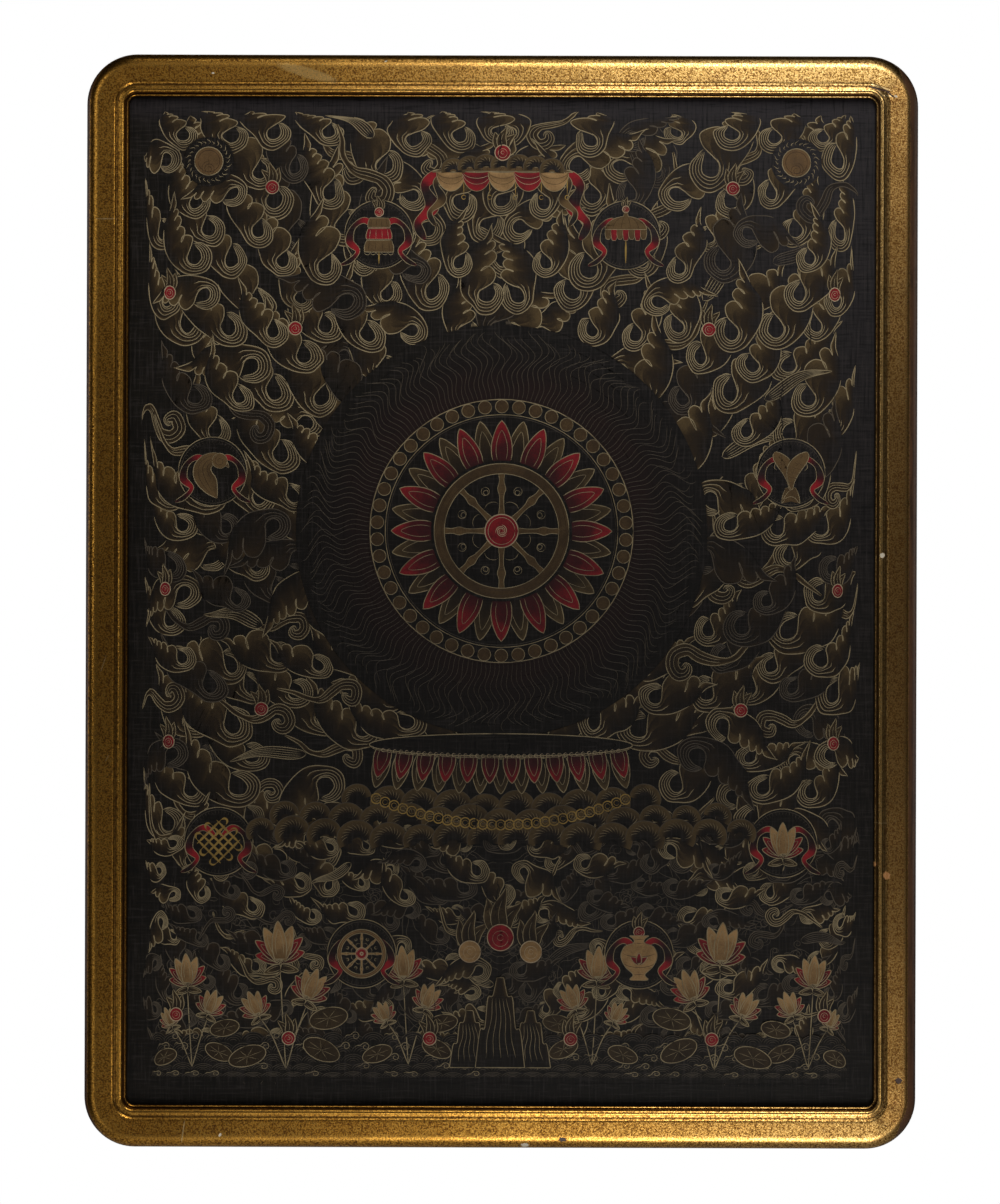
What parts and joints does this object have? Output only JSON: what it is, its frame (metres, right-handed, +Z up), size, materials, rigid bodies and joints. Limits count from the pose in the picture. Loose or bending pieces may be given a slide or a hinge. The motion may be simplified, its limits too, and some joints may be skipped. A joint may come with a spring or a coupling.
{
  "type": "thangka scroll painting in gilt wooden frame",
  "caption": "Black-ground painted cloth stretched flat in a gilt wooden frame with rounded corners, a beaded sight edge and an open back, for hanging on a wall.",
  "frame": {"origin": "middle of the flat back of the top rail, where the frame meets the wall", "axes": "+Z up along the height, +Y into the wall, the painting faces -Y, +X to the right as seen from the front"},
  "size_m": [0.706, 0.0275, 0.9281],
  "materials": {
    "painted_cloth": "primed plain-weave cloth, matt charcoal-black ground with thin gold, brown, red and ochre paint",
    "gilt_wood": "aged bronze-gold gilding over red-brown bole, satin and finely speckled, dark brown outer side, bare wood back"
  },
  "bodies": {
    "root": {"painting_cloth": "painted_cloth", "rail_top": "gilt_wood", "rail_bottom": "gilt_wood", "rail_left": "gilt_wood", "rail_right": "gilt_wood"}
  },
  "joints": []
}
